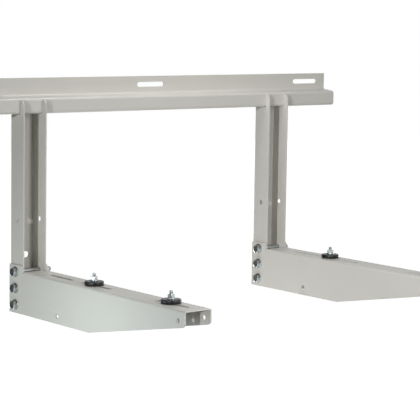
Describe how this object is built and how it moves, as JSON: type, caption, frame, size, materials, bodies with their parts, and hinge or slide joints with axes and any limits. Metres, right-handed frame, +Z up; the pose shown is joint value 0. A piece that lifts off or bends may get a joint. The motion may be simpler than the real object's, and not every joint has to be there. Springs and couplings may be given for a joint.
{
  "type": "air conditioner outdoor unit wall bracket",
  "caption": "Folded-steel wall bracket with a slotted crossbar, two channel uprights, two tapered arms on through bolts, and rubber pads with studs for the unit's feet.",
  "frame": {"origin": "middle of the crossbar's wall face, on solid sheet 24 mm below its top edge", "axes": "+X along the crossbar to the right as seen from the room, +Y into the wall, +Z up; the wall is the plane Y = 0"},
  "size_m": [0.78, 0.465, 0.374],
  "materials": {
    "powder_coat": "light grey powder coat, satin",
    "zinc": "bright zinc plating",
    "rubber": "black moulded rubber, slightly glossy"
  },
  "bodies": {
    "root": {"crossbar": "powder_coat", "left_upright": "powder_coat", "left_arm": "powder_coat", "left_head_washer_1": "zinc", "left_bolt_1": "zinc", "left_nut_washer_1": "zinc", "left_nut_1": "zinc", "left_head_washer_2": "zinc", "left_bolt_2": "zinc", "left_nut_washer_2": "zinc", "left_nut_2": "zinc", "left_head_washer_3": "zinc", "left_bolt_3": "zinc", "left_nut_washer_3": "zinc", "left_nut_3": "zinc", "left_rear_pad_under_washer": "zinc", "left_rear_pad_stud": "zinc", "left_rear_pad_washer": "zinc", "left_rear_pad_nut": "zinc", "left_rear_rubber_pad": "rubber", "left_front_pad_under_washer": "zinc", "left_front_pad_stud": "zinc", "left_front_pad_washer": "zinc", "left_front_pad_nut": "zinc", "left_front_rubber_pad": "rubber", "right_upright": "powder_coat", "right_arm": "powder_coat", "right_head_washer_1": "zinc", "right_bolt_1": "zinc", "right_nut_washer_1": "zinc", "right_nut_1": "zinc", "right_head_washer_2": "zinc", "right_bolt_2": "zinc", "right_nut_washer_2": "zinc", "right_nut_2": "zinc", "right_head_washer_3": "zinc", "right_bolt_3": "zinc", "right_nut_washer_3": "zinc", "right_nut_3": "zinc", "right_rear_pad_under_washer": "zinc", "right_rear_pad_stud": "zinc", "right_rear_pad_washer": "zinc", "right_rear_pad_nut": "zinc", "right_rear_rubber_pad": "rubber", "right_front_pad_under_washer": "zinc", "right_front_pad_stud": "zinc", "right_front_pad_washer": "zinc", "right_front_pad_nut": "zinc", "right_front_rubber_pad": "rubber"}
  },
  "joints": []
}
